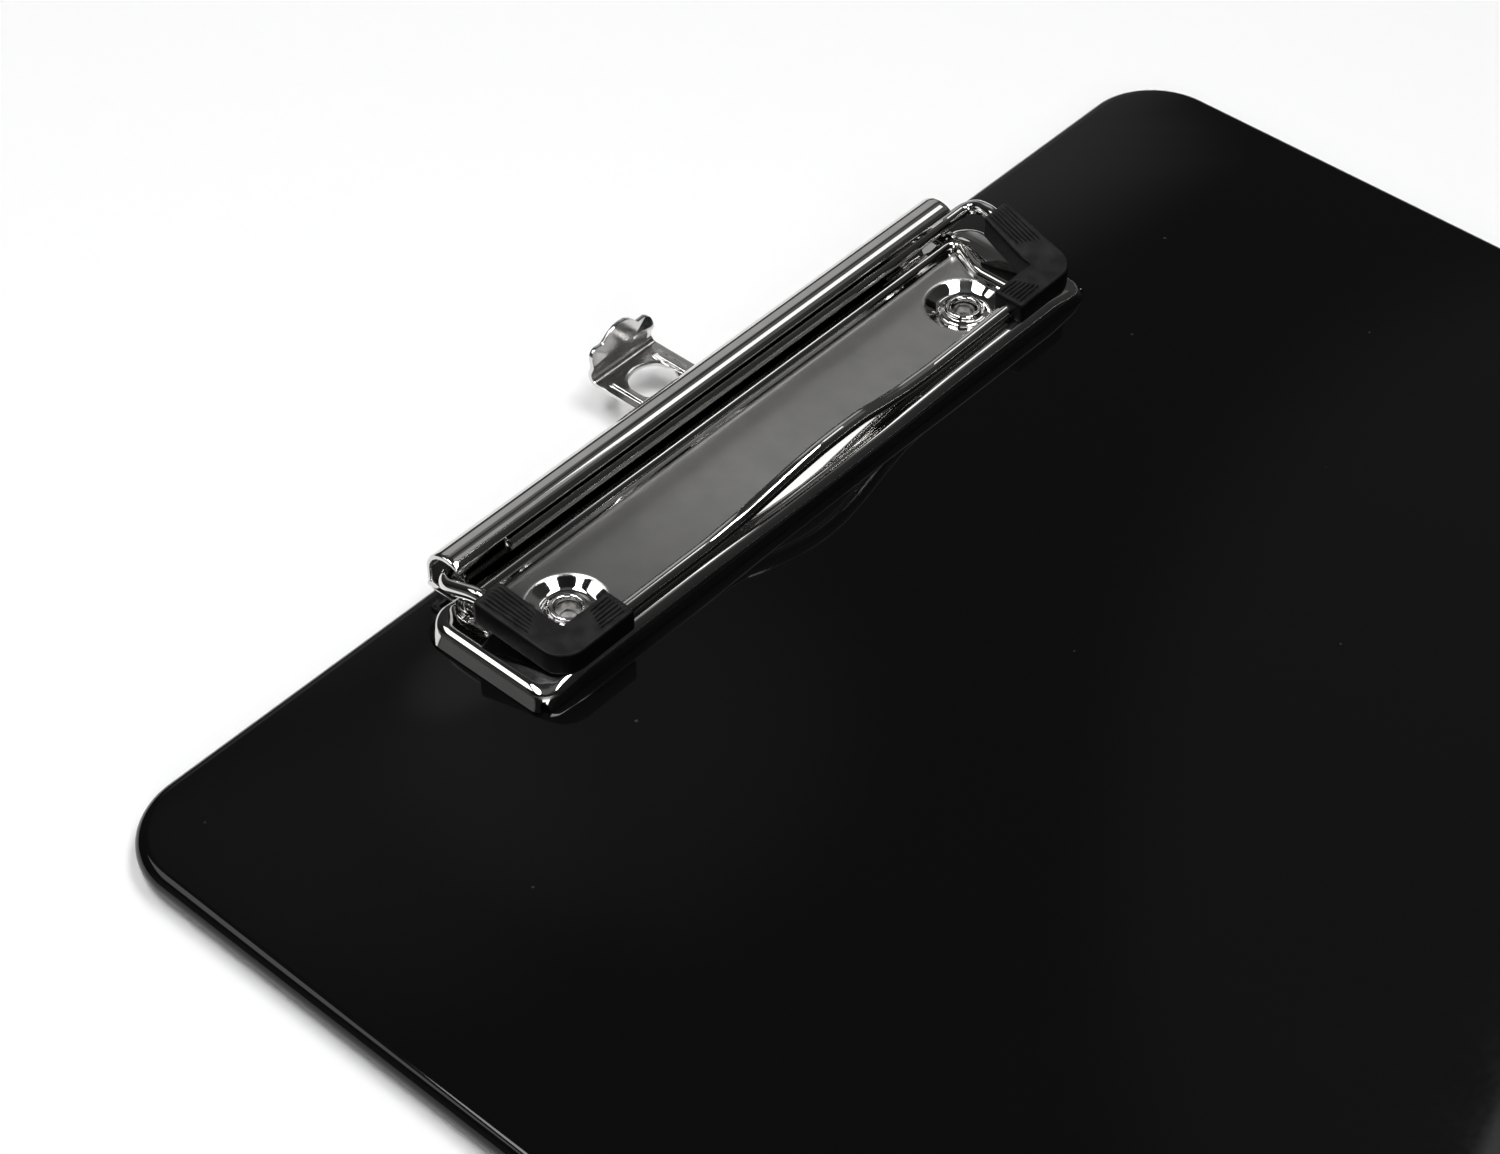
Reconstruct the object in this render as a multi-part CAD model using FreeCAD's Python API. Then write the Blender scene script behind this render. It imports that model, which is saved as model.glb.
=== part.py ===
import FreeCAD, Part
import math
import os

# Letter-size clipboard with a 120 mm low-profile wire clip and a sliding hanger.
# Millimetres, +Z up. Origin: centre of the board's underside.
# The clip's parts are drawn in the clip frame: x across the board from its middle,
# y from the board's clip-end edge (the board lies towards -y), z from the board's top.

V = FreeCAD.Vector

# Board
BOARD_W = 228.6
BOARD_L = 317.5
BOARD_T = 4.2
BOARD_CORNER = 12.7
BOARD_EDGE = 2.0

# Sheet of the base plate
SHEET = 0.8
PLATE_HALF = 59.4
PLATE_FRONT = -29.6
PLATE_REAR = -7.4
RIM_TOP = 3.0
PANEL_TOP = 2.1
FOLD = 1.0
REAR_CORNER = 3.0

# Recessed panel of the base plate
PANEL_HALF = 49.9
PANEL_FRONT = -24.7
PANEL_BACK = -9.2
PANEL_DRAFT = 0.9
PANEL_CORNER = 1.6

# Rear channel and curl, which hold the torsion rods of the bail
CURL_HALF = 53.9
EAR_HALF = 54.5
EAR_TOP = 4.3
EAR_SADDLE = 3.2
WALL_BACK = -1.0
CURL_R = 4.0
CURL_Y = WALL_BACK - CURL_R
CURL_Z = 5.45
CURL_SWEEP = 129.0

# Eyelets
EYELET_X = 43.8
EYELET_Y = -18.6
EYELET_BORE = 1.85
EYELET_BARREL = 2.35
EYELET_FLANGE = 4.0
EYELET_HOLE = EYELET_BARREL + 0.1
DIMPLE_TOP_R = 5.5
DIMPLE_FLOOR_R = 4.4
SINK_R = 4.8
SINK_DEPTH = 1.2
WASHER_T = 0.6
WASHER_R = 4.4

# Wire bail: its centre sits a little to one side in its end play
WIRE_R = 1.15
BAIL_X = 1.5
PIVOT_Y = -5.5
PIVOT_Z = 5.95
ROD_SPREAD = 1.18
ROD_REACH = 45.0
SHOULDER_HALF = 58.3
ARM_CREST = V(56.5, -12.3, 8.3)
BAR_HALF = 54.5
BAR_Y = -26.6
BAR_Z = 4.75
JOG_FOOT = 24.0
JOG_TOP = 5.0
JOG_Y = -28.2
JOG_Z = 8.9

# Corner grips on the bail
GRIP_OUT = 57.2
GRIP_FRONT = -29.5
GRIP_LEG = 5.6
GRIP_BAR_LEN = 14.4
GRIP_ARM_END = -13.3
GRIP_ARM_W = 5.5
GRIP_BOTTOM = 3.1
GRIP_TOP = 7.0
GRIP_SLOPE = 0.25
GRIP_TAPER = 1.6
GRIP_BREAK = -24.4
GRIP_CORNER = 4.0

# Hanger: a T-shaped tab that slides out under the rear channel
HANGER_X = 0.3
HANGER_HALF = 6.6
HANGER_T = 0.6
HANGER_Z = 0.1
HANGER_BACK = 13.45
HANGER_INNER = -13.0
WING_HALF = 11.5
WING_FRONT = -6.1
HANGER_HOLE = V(0.2, 6.1, 0.0)
HANGER_HOLE_R = 3.9
RIB_X = 4.75
RIB_HALF = 0.65
RIB_H = 0.3
RIB_END = 10.1
LIP_SIDE_TOP = 6.2
LIP_SIDE_R = 1.5
LIP_MID_TOP = 8.1
LIP_MID_R = 3.7
GUIDE_X = 8.7
GUIDE_Y = -4.4
GUIDE_R = 1.3


def box(x0, x1, y0, y1, z0, z1):
    return Part.makeBox(x1 - x0, y1 - y0, z1 - z0, V(x0, y0, z0))


def cylinder(radius, z0, z1, x=0.0, y=0.0):
    return Part.makeCylinder(radius, z1 - z0, V(x, y, z0))


def cone(bottom_r, top_r, z0, z1, x, y):
    return Part.makeCone(bottom_r, top_r, z1 - z0, V(x, y, z0))


def prism_x(outline, x0, x1):
    """Extrude a closed outline of (y, z) points along X."""
    points = [V(x0, y, z) for y, z in outline]
    face = Part.Face(Part.makePolygon(points + points[:1]))
    return face.extrude(V(x1 - x0, 0, 0))


def prism_z(outline, z0, z1):
    """Extrude a closed outline of (x, y) points along Z."""
    points = [V(x, y, z0) for x, y in outline]
    face = Part.Face(Part.makePolygon(points + points[:1]))
    return face.extrude(V(0, 0, z1 - z0))


def edges_where(shape, test):
    return [e for e in shape.Edges if test(e)]


def is_vertical(edge):
    a, b = edge.Vertexes[0].Point, edge.Vertexes[-1].Point
    return abs(a.x - b.x) < 1e-6 and abs(a.y - b.y) < 1e-6


def rounded_rectangle(x0, x1, y0, y1, radius, z):
    """A closed wire of a rectangle with round corners at height z."""
    corners = [(x1 - radius, y1 - radius, 0), (x0 + radius, y1 - radius, 90),
               (x0 + radius, y0 + radius, 180), (x1 - radius, y0 + radius, 270)]
    arcs = [Part.makeCircle(radius, V(x, y, z), V(0, 0, 1), start, start + 90)
            for x, y, start in corners]
    edges = []
    for i, arc in enumerate(arcs):
        nxt = arcs[(i + 1) % len(arcs)]
        edges += [arc, Part.makeLine(arc.Vertexes[-1].Point, nxt.Vertexes[0].Point)]
    return Part.Wire(edges)


def smooth_path(points, radii):
    """Straight runs through the points, joined by tangent arcs of the given radii."""
    edges, start = [], points[0]
    for before, corner, after, radius in zip(points, points[1:], points[2:], radii):
        a, b = (before - corner).normalize(), (after - corner).normalize()
        half = a.getAngle(b) / 2
        reach = radius / math.tan(half)
        middle = (a + b).normalize() * (radius / math.sin(half) - radius)
        enter, leave = corner + a * reach, corner + b * reach
        edges.append(Part.makeLine(start, enter))
        edges.append(Part.Arc(enter, corner + middle, leave).toShape())
        start = leave
    edges.append(Part.makeLine(start, points[-1]))
    return Part.Wire(edges)


def tube(path, radius):
    """A solid round bar along a path."""
    first = path.OrderedEdges[0]
    direction = first.tangentAt(first.FirstParameter)
    section = Part.Wire([Part.makeCircle(radius, path.OrderedVertexes[0].Point, direction)])
    return path.makePipeShell([section], True, False)


def mirrored(shape):
    return shape.mirror(V(0, 0, 0), V(1, 0, 0))


# ---------------------------------------------------------------- board

def make_board():
    board = box(-BOARD_W / 2, BOARD_W / 2, -BOARD_L, 0, -BOARD_T, 0)
    board = board.makeFillet(BOARD_CORNER, edges_where(board, is_vertical))
    rim = edges_where(board, lambda e: not is_vertical(e))
    board = board.makeFillet(BOARD_EDGE, rim)
    for x in (-EYELET_X, EYELET_X):
        board = board.cut(cylinder(EYELET_HOLE, -BOARD_T - 1, 1, x, EYELET_Y))
        board = board.cut(cylinder(SINK_R, -BOARD_T - 1, SINK_DEPTH - BOARD_T, x, EYELET_Y))
    return board


# ----------------------------------------------------------- base plate

def tray_block(inset, top, corner):
    """The pressed tray's outline, shrunk by inset, from below the board to top."""
    block = box(-PLATE_HALF + inset, PLATE_HALF - inset,
                PLATE_FRONT + inset, PLATE_REAR - inset, 0, top)
    rear = edges_where(block, lambda e: is_vertical(e) and e.CenterOfMass.y > PLATE_REAR - 3)
    front = edges_where(block, lambda e: is_vertical(e) and e.CenterOfMass.y < PLATE_FRONT + 3)
    block = block.makeFillet(corner, rear)
    front = edges_where(block, lambda e: is_vertical(e) and e.CenterOfMass.y < PLATE_FRONT + 3)
    return block.makeFillet(FOLD, front)


def tray_outside():
    """The tray seen from above: folded rim, sunk panel and two dimples."""
    block = tray_block(0.0, RIM_TOP, REAR_CORNER)
    top = edges_where(block, lambda e: e.BoundBox.ZMin > RIM_TOP - 0.01)
    block = block.makeFillet(FOLD, top)
    floor = rounded_rectangle(-PANEL_HALF, PANEL_HALF, PANEL_FRONT, PANEL_BACK,
                              PANEL_CORNER, PANEL_TOP)
    mouth = rounded_rectangle(-PANEL_HALF - PANEL_DRAFT, PANEL_HALF + PANEL_DRAFT,
                              PANEL_FRONT - PANEL_DRAFT, PANEL_BACK + PANEL_DRAFT,
                              PANEL_CORNER + PANEL_DRAFT, RIM_TOP)
    block = block.cut(Part.makeLoft([floor, mouth], True, True))
    for x in (-EYELET_X, EYELET_X):
        block = block.cut(cone(DIMPLE_FLOOR_R, DIMPLE_TOP_R, SHEET, PANEL_TOP, x, EYELET_Y))
    return block


def tray_inside():
    """The hollow under the sheet, open at the bottom and at the rear between the ears."""
    hollow = tray_block(SHEET, RIM_TOP - SHEET, REAR_CORNER - SHEET)
    reach = PANEL_DRAFT + 0.6 * SHEET
    sunk = box(-PANEL_HALF - reach, PANEL_HALF + reach, PANEL_FRONT - reach,
               PANEL_BACK + reach, PANEL_TOP - SHEET, RIM_TOP)
    sunk = sunk.makeFillet(PANEL_CORNER + reach, edges_where(sunk, is_vertical))
    hollow = hollow.cut(sunk)
    for x in (-EYELET_X, EYELET_X):
        hollow = hollow.cut(cone(DIMPLE_FLOOR_R + SHEET, DIMPLE_TOP_R + SHEET,
                                 0, PANEL_TOP - SHEET, x, EYELET_Y))
    gate = EAR_HALF - SHEET
    return hollow.fuse(box(-gate, gate, PLATE_REAR - 2, PLATE_REAR + 1, -1, PANEL_TOP - SHEET))


def rear_channel():
    """Rear rim, channel floor and rear wall, as one bent strip."""
    inner_wall = WALL_BACK - SHEET
    ridge = PLATE_REAR + 0.2
    slope = RIM_TOP - PANEL_TOP
    strip = [(PANEL_BACK + PANEL_DRAFT, RIM_TOP), (ridge, RIM_TOP), (ridge + slope, PANEL_TOP),
             (inner_wall, PANEL_TOP), (inner_wall, CURL_Z), (WALL_BACK, CURL_Z),
             (WALL_BACK, PANEL_TOP - SHEET), (ridge + slope - 0.35, PANEL_TOP - SHEET),
             (ridge - 0.35, RIM_TOP - SHEET), (PANEL_BACK + PANEL_DRAFT, RIM_TOP - SHEET)]
    channel = prism_x(strip, -EAR_HALF, EAR_HALF)
    bend = edges_where(channel, lambda e: e.BoundBox.YMin > WALL_BACK - 0.01
                       and abs(e.BoundBox.ZMax - PANEL_TOP + SHEET) < 0.01
                       and e.BoundBox.XLength > 1)
    channel = channel.makeFillet(FOLD, bend)
    over_ear = PANEL_TOP + 1.5
    for x0, x1 in ((-EAR_HALF - 1, -CURL_HALF), (CURL_HALF, EAR_HALF + 1)):
        channel = channel.cut(box(x0, x1, inner_wall - 1, 1, over_ear, CURL_Z + 1))
    return channel


def curl():
    """The open curl over the torsion rods, from the rear wall to its front lip."""
    start, end = 0.0, math.radians(CURL_SWEEP)

    def at(radius, angle):
        return V(-CURL_HALF, CURL_Y + radius * math.cos(angle), CURL_Z + radius * math.sin(angle))

    outer, inner = CURL_R, CURL_R - SHEET
    middle = (start + end) / 2
    edges = [Part.Arc(at(outer, start), at(outer, middle), at(outer, end)).toShape(),
             Part.makeLine(at(outer, end), at(inner, end)),
             Part.Arc(at(inner, end), at(inner, middle), at(inner, start)).toShape(),
             Part.makeLine(at(inner, start), at(outer, start))]
    return Part.Face(Part.Wire(edges)).extrude(V(2 * CURL_HALF, 0, 0))


def ear():
    """The upright ear that closes the right end of the channel, dished under the rods."""
    front, bottom = PLATE_REAR - 0.6, PANEL_TOP - SHEET
    outline = [(front, bottom), (front, EAR_TOP), (front + 0.8, EAR_TOP),
               (front + 1.6, EAR_SADDLE), (WALL_BACK, EAR_SADDLE), (WALL_BACK, bottom)]
    return prism_x(outline, EAR_HALF - SHEET, EAR_HALF)


def corner_relief():
    """The slit between the front and end flanges at the right front corner."""
    width, height, reach = 1.1, 1.3, 3.0
    slit = box(-reach, reach, -width / 2, width / 2, -1, height)
    cap = Part.makeCylinder(width / 2, 2 * reach, V(-reach, 0, height), V(1, 0, 0))
    slit = slit.fuse(cap)
    slit.rotate(V(0, 0, 0), V(0, 0, 1), -45)
    slit.translate(V(PLATE_HALF, PLATE_FRONT, 0))
    return slit


def hanger_guide():
    """A pip pressed down from the channel floor, which guides and stops the hanger."""
    return cylinder(GUIDE_R, HANGER_Z + 0.1, PANEL_TOP - SHEET / 2, GUIDE_X, GUIDE_Y)


def make_base_plate():
    plate = tray_outside().cut(tray_inside())
    plate = plate.multiFuse([rear_channel(), curl(), ear(), mirrored(ear()),
                             hanger_guide(), mirrored(hanger_guide())])
    plate = plate.cut(corner_relief()).cut(mirrored(corner_relief()))
    for x in (-EYELET_X, EYELET_X):
        plate = plate.cut(cylinder(EYELET_HOLE, -1, PANEL_TOP, x, EYELET_Y))
    return plate.removeSplitter()


# ------------------------------------------------------- eyelets, washers

def make_eyelet(x):
    """Tubular eyelet: rolled bead and flange on top, barrel, clinched foot below."""
    foot = SINK_DEPTH - BOARD_T - WASHER_T
    outline = [(EYELET_BORE, foot - 0.45), (3.4, foot - 0.45), (3.6, foot - 0.2), (3.4, foot),
               (EYELET_BARREL, foot), (EYELET_BARREL, SHEET), (EYELET_FLANGE, SHEET),
               (EYELET_FLANGE, SHEET + 0.3), (3.1, SHEET + 0.4), (2.8, SHEET + 0.85),
               (2.35, SHEET + 1.0), (2.0, SHEET + 0.85), (EYELET_BORE, SHEET + 0.5)]
    points = [V(r, 0, z) for r, z in outline]
    face = Part.Face(Part.makePolygon(points + points[:1]))
    eyelet = face.revolve(V(0, 0, 0), V(0, 0, 1), 360)
    eyelet.translate(V(x, EYELET_Y, 0))
    return eyelet


def make_washer(x):
    top = SINK_DEPTH - BOARD_T
    ring = cylinder(WASHER_R, top - WASHER_T, top, x, EYELET_Y)
    return ring.cut(cylinder(EYELET_HOLE, top - 2, top + 1, x, EYELET_Y))


# ------------------------------------------------------------ wire bail

def make_wire_bail():
    """One wire: a torsion rod from each end of the channel, two arms and the front bar."""
    def at(x, y, z):
        return V(x, y, z)

    rear_rod, front_rod = PIVOT_Y + ROD_SPREAD, PIVOT_Y - ROD_SPREAD
    crest, foot, top = ARM_CREST, V(JOG_FOOT, BAR_Y, BAR_Z), V(JOG_TOP, JOG_Y, JOG_Z)
    corner = V(BAR_HALF, BAR_Y, BAR_Z)

    def left(p):
        return V(-p.x, p.y, p.z)

    points = [at(ROD_REACH, rear_rod, PIVOT_Z), at(-SHOULDER_HALF, rear_rod, PIVOT_Z),
              left(crest), left(corner), left(foot), left(top),
              top, foot, corner, crest,
              at(SHOULDER_HALF, front_rod, PIVOT_Z), at(-ROD_REACH, front_rod, PIVOT_Z)]
    radii = [2.4, 5.0, 3.2, 14.0, 14.0, 14.0, 14.0, 3.2, 5.0, 2.4]
    bail = tube(smooth_path(points, radii), WIRE_R)
    bail.translate(V(BAIL_X, 0, 0))
    return bail


# --------------------------------------------------------- corner grips

def grip_block():
    """The right grip's outside: an L that covers the bail's corner."""
    rear_x = GRIP_OUT + GRIP_TAPER
    outline = [(GRIP_OUT - GRIP_BAR_LEN, GRIP_FRONT), (GRIP_OUT, GRIP_FRONT),
               (rear_x, GRIP_ARM_END), (rear_x - GRIP_ARM_W, GRIP_ARM_END),
               (GRIP_OUT - GRIP_LEG + 0.4, GRIP_FRONT + GRIP_LEG),
               (GRIP_OUT - GRIP_BAR_LEN, GRIP_FRONT + GRIP_LEG)]
    plan = prism_z(outline, 0, 15)
    outer = edges_where(plan, lambda e: is_vertical(e) and e.CenterOfMass.x > GRIP_OUT - 0.1
                        and e.CenterOfMass.y < GRIP_FRONT + 0.1)
    plan = plan.makeFillet(GRIP_CORNER, outer)
    rise = GRIP_SLOPE * (GRIP_ARM_END + 1 - GRIP_BREAK)
    side = [(GRIP_FRONT - 1, GRIP_BOTTOM), (GRIP_BREAK, GRIP_BOTTOM),
            (GRIP_ARM_END + 1, GRIP_BOTTOM + rise + 0.4), (GRIP_ARM_END + 1, GRIP_TOP + rise),
            (GRIP_BREAK, GRIP_TOP), (GRIP_FRONT - 1, GRIP_TOP)]
    return plan.common(prism_x(side, 0, 80))


def make_corner_grip(block, bail):
    """A grip moulded round the wire."""
    grip = block.copy()
    grip.translate(V(BAIL_X, 0, 0))
    return grip.cut(bail)


# --------------------------------------------------------------- hanger

def lip_outline():
    """The lip's plate: a low lobe at each side and a taller round lobe between."""
    z0 = HANGER_Z
    plate = box(-HANGER_HALF, HANGER_HALF, HANGER_BACK - HANGER_T, HANGER_BACK,
                z0, LIP_SIDE_TOP - LIP_SIDE_R)
    lobes = [(-HANGER_HALF + LIP_SIDE_R, LIP_SIDE_TOP - LIP_SIDE_R, LIP_SIDE_R),
             (HANGER_HALF - LIP_SIDE_R, LIP_SIDE_TOP - LIP_SIDE_R, LIP_SIDE_R),
             (0.0, LIP_MID_TOP - LIP_MID_R, LIP_MID_R)]
    for x, z, radius in lobes:
        plate = plate.fuse(Part.makeCylinder(radius, HANGER_T, V(x, HANGER_BACK, z), V(0, -1, 0)))
    return plate


def make_hanger():
    top = HANGER_Z + HANGER_T
    outline = [(-HANGER_HALF, HANGER_BACK), (-HANGER_HALF, WING_FRONT), (-WING_HALF, WING_FRONT),
               (-WING_HALF, HANGER_INNER), (WING_HALF, HANGER_INNER), (WING_HALF, WING_FRONT),
               (HANGER_HALF, WING_FRONT), (HANGER_HALF, HANGER_BACK)]
    hanger = prism_z(outline, HANGER_Z, top)
    for x in (-RIB_X, RIB_X):
        rib = box(x - RIB_HALF, x + RIB_HALF, HANGER_INNER + 1.5, RIB_END, top - 0.1, top + RIB_H)
        hanger = hanger.fuse(rib)
    hanger = hanger.fuse(lip_outline())
    hole = HANGER_HOLE
    hanger = hanger.cut(cylinder(HANGER_HOLE_R, -1, 3, hole.x - HANGER_X, hole.y))
    hanger = hanger.removeSplitter()
    fold = edges_where(hanger, lambda e: e.BoundBox.YMin > HANGER_BACK - 0.01
                       and e.BoundBox.ZMax < HANGER_Z + 0.01)
    hanger = hanger.makeFillet(0.8, fold)
    hanger.translate(V(HANGER_X, 0, 0))
    return hanger


# ---------------------------------------------------------------- parts

def build():
    bail = make_wire_bail()
    parts = {
        "board": make_board(),
        "base_plate": make_base_plate(),
        "wire_bail": bail,
        "corner_grip_right": make_corner_grip(grip_block(), bail),
        "corner_grip_left": make_corner_grip(mirrored(grip_block()), bail),
        "hanger": make_hanger(),
    }
    for side, x in (("left", -EYELET_X), ("right", EYELET_X)):
        parts["eyelet_" + side] = make_eyelet(x)
        parts["eyelet_washer_" + side] = make_washer(x)
    return parts


os.makedirs("parts", exist_ok=True)
for name, shape in build().items():
    shape.translate(V(0, BOARD_L / 2, BOARD_T))
    shape.exportStep(os.path.join("parts", name + ".step"))
    print(name, shape.isValid(), len(shape.Solids), round(shape.Volume, 1))
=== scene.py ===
import bpy
import bmesh
import math
from mathutils import Matrix, Vector


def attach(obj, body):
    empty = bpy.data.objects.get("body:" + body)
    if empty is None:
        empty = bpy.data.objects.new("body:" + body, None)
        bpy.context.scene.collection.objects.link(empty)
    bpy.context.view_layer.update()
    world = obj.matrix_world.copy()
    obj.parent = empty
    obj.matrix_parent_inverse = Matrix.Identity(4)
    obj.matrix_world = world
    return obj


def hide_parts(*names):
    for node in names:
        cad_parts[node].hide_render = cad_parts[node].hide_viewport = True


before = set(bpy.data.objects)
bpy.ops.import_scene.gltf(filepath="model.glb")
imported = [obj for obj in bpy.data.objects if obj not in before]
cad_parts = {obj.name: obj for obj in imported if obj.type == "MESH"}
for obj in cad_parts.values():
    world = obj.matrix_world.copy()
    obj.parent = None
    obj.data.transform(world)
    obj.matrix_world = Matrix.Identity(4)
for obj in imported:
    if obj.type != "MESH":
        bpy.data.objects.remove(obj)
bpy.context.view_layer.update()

# The clip frame, in mm: x across the board from its middle, y from the board's clip-end
# edge (the board lies towards -y), z from the board's top face.
BOARD_W, BOARD_L, BOARD_T = 228.6, 317.5, 4.2
BOARD_CORNER, BOARD_EDGE = 12.7, 2.0
EYELET_X, EYELET_Y = 43.8, -18.6
EYELET_HOLE_R = 2.45
SINK_R, SINK_Z = 4.8, -3.0
BAIL_X = 1.5


def to_row(p):
    """A clip-frame point in mm as a row-frame point in metres."""
    return Vector((p[0], p[1] + BOARD_L / 2, p[2] + BOARD_T)) * 0.001


def lerp(a, b, t):
    return a + (b - a) * t


def smooth(t):
    t = min(max(t, 0.0), 1.0)
    return t * t * (3 - 2 * t)


def interpolate(table, x):
    """Piecewise-linear lookup in a list of (x, value)."""
    if x <= table[0][0]:
        return table[0][1]
    for (x0, v0), (x1, v1) in zip(table, table[1:]):
        if x <= x1:
            return lerp(v0, v1, (x - x0) / (x1 - x0))
    return table[-1][1]


# ------------------------------------------------------------- mesh tools

class Builder:
    """Collects vertices and faces in the clip frame and makes one mesh object."""

    def __init__(self):
        self.verts, self.faces = [], []

    def add(self, points):
        """Add points and give their numbers."""
        start = len(self.verts)
        self.verts += [tuple(p) for p in points]
        return list(range(start, len(self.verts)))

    def strip(self, a, b, closed=False):
        """Faces between two rows of numbered points."""
        n = len(a) if closed else len(a) - 1
        for i in range(n):
            j = (i + 1) % len(a)
            self.faces.append((a[i], a[j], b[j], b[i]))

    def rows(self, rows, closed=False):
        """Rows of points joined into a sheet; closed wraps each row round."""
        ids = [self.add(r) for r in rows]
        for a, b in zip(ids, ids[1:]):
            self.strip(a, b, closed)
        return ids

    def fan(self, loop, point):
        """Close a loop with triangles to one point."""
        centre = self.add([point])[0]
        for i in range(len(loop)):
            self.faces.append((loop[i], loop[(i + 1) % len(loop)], centre))

    def make(self, name, material, body, replaces=(), sharp=38.0, flip=False, drop=None,
             thickness=0.0, weld=1e-6, eased=True):
        """One mesh object on its body: a sheet if it has a thickness in mm, or else a solid."""
        mesh = bpy.data.meshes.new(name)
        faces = self.faces
        if drop is not None:
            faces = [f for f in faces if not drop(self.centre(f))]
        mesh.from_pydata([to_row(v) for v in self.verts], [], faces)
        bm = bmesh.new()
        bm.from_mesh(mesh)
        bmesh.ops.remove_doubles(bm, verts=bm.verts, dist=weld)
        loose = [v for v in bm.verts if not v.link_faces]
        bmesh.ops.delete(bm, geom=loose, context="VERTS")
        if thickness == 0.0:
            bmesh.ops.recalc_face_normals(bm, faces=bm.faces)
        if flip:
            bmesh.ops.reverse_faces(bm, faces=bm.faces)
        bm.to_mesh(mesh)
        bm.free()
        piece = bpy.data.objects.new(name, mesh)
        bpy.context.scene.collection.objects.link(piece)
        if thickness:
            thicken(piece, thickness, eased)
        finish_piece(piece, material, sharp)
        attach(piece, body)
        if replaces:
            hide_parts(*replaces)
        return piece

    def centre(self, face):
        points = [self.verts[i] for i in face]
        return tuple(sum(p[k] for p in points) / len(points) for k in range(3))


def apply_modifiers(piece):
    """Replace a piece's mesh with what its modifiers make of it."""
    bpy.context.view_layer.update()
    graph = bpy.context.evaluated_depsgraph_get()
    mesh = bpy.data.meshes.new_from_object(piece.evaluated_get(graph))
    piece.modifiers.clear()
    piece.data = mesh


def thicken(piece, thickness, eased):
    """Give a sheet its thickness, on the side away from its normals, and ease its cut edges."""
    shell = piece.modifiers.new("thickness", "SOLIDIFY")
    shell.thickness = thickness * 0.001
    shell.offset = -1.0
    if eased:
        edge = piece.modifiers.new("edge", "BEVEL")
        edge.width = 0.0001
        edge.segments = 2
        edge.limit_method = "ANGLE"
        edge.angle_limit = math.radians(55)
    apply_modifiers(piece)


def finish_piece(piece, material, sharp):
    """Give a piece its material and smooth shading, with edges over sharp degrees kept."""
    piece.data.materials.clear()
    piece.data.materials.append(material)
    piece.data.shade_smooth()
    piece.data.set_sharp_from_angle(angle=math.radians(sharp))


def joined(name, pieces):
    """Several objects as one, keeping the first one's parent and labels."""
    bpy.ops.object.select_all(action="DESELECT")
    for piece in pieces:
        piece.select_set(True)
    bpy.context.view_layer.objects.active = pieces[0]
    bpy.ops.object.join()
    pieces[0].name = name
    pieces[0].data.name = name
    return pieces[0]


def ring(x0, x1, y0, y1, front_r, rear_r, z, tx, ty):
    """Points of a rounded rectangle, anticlockwise from the middle of its front left corner.

    tx and ty are the shares of each side, from one corner's middle to the next."""
    sides = [
        ((x0, y0), (x1, y0), (1, 0), (0, 1), front_r, front_r, tx),
        ((x1, y0), (x1, y1), (0, 1), (-1, 0), front_r, rear_r, ty),
        ((x1, y1), (x0, y1), (-1, 0), (0, -1), rear_r, rear_r, [1 - t for t in reversed(tx)]),
        ((x0, y1), (x0, y0), (0, -1), (1, 0), rear_r, front_r, [1 - t for t in reversed(ty)]),
    ]
    points = []
    for a, b, u, n, ra, rb, shares in sides:
        length = abs(b[0] - a[0]) + abs(b[1] - a[1])
        qa, qb = math.pi * ra / 4, math.pi * rb / 4
        total = length - ra - rb + qa + qb
        for t in shares[:-1]:
            s = t * total
            if s < qa:
                angle = math.pi / 4 - s / ra
                along, across = ra - ra * math.sin(angle), ra - ra * math.cos(angle)
            elif s > total - qb:
                angle = (s - (total - qb)) / rb
                along, across = length - rb + rb * math.sin(angle), rb - rb * math.cos(angle)
            else:
                along, across = ra + s - qa, 0.0
            points.append((a[0] + u[0] * along + n[0] * across,
                           a[1] + u[1] * along + n[1] * across, z))
    return points


def coons(boundary, tx, ty):
    """Rows of points that fill a ring, front row first."""
    nx, ny = len(tx) - 1, len(ty) - 1
    front = boundary[:nx + 1]
    right = boundary[nx:nx + ny + 1]
    back = [boundary[(2 * nx + ny - i) % len(boundary)] for i in range(nx + 1)]
    left = [boundary[-j] if j else boundary[0] for j in range(ny + 1)]
    rows = []
    for j, v in enumerate(ty):
        row = []
        for i, u in enumerate(tx):
            p = [(1 - v) * front[i][k] + v * back[i][k] + (1 - u) * left[j][k] + u * right[j][k]
                 - (1 - u) * (1 - v) * front[0][k] - u * (1 - v) * front[-1][k]
                 - (1 - u) * v * back[0][k] - u * v * back[-1][k] for k in range(3)]
            row.append(tuple(p))
        rows.append(row)
    return rows


def shares(length, zones):
    """Shares of a side from zones of (end position, step), symmetrical about its middle."""
    half, at = [0.0], 0.0
    for end, step in zones:
        count = max(1, round((end - at) / step))
        half += [at + (end - at) * (k + 1) / count for k in range(count)]
        at = end
    half = [h / length for h in half]
    return half + [1 - h for h in reversed(half[:-1])]


def lathe(builder, profile, x, y, count=72):
    """A closed (radius, z) profile turned about a vertical axis."""
    rows = []
    for r, z in profile + profile[:1]:
        rows.append([(x + r * math.cos(math.tau * k / count),
                      y + r * math.sin(math.tau * k / count), z) for k in range(count)])
    builder.rows(rows, closed=True)


def arc_points(cx, cy, radius, start, end, count):
    """Points of a flat arc, from one angle in degrees to another."""
    return [(cx + radius * math.cos(math.radians(lerp(start, end, k / count))),
             cy + radius * math.sin(math.radians(lerp(start, end, k / count))))
            for k in range(count + 1)]


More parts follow.
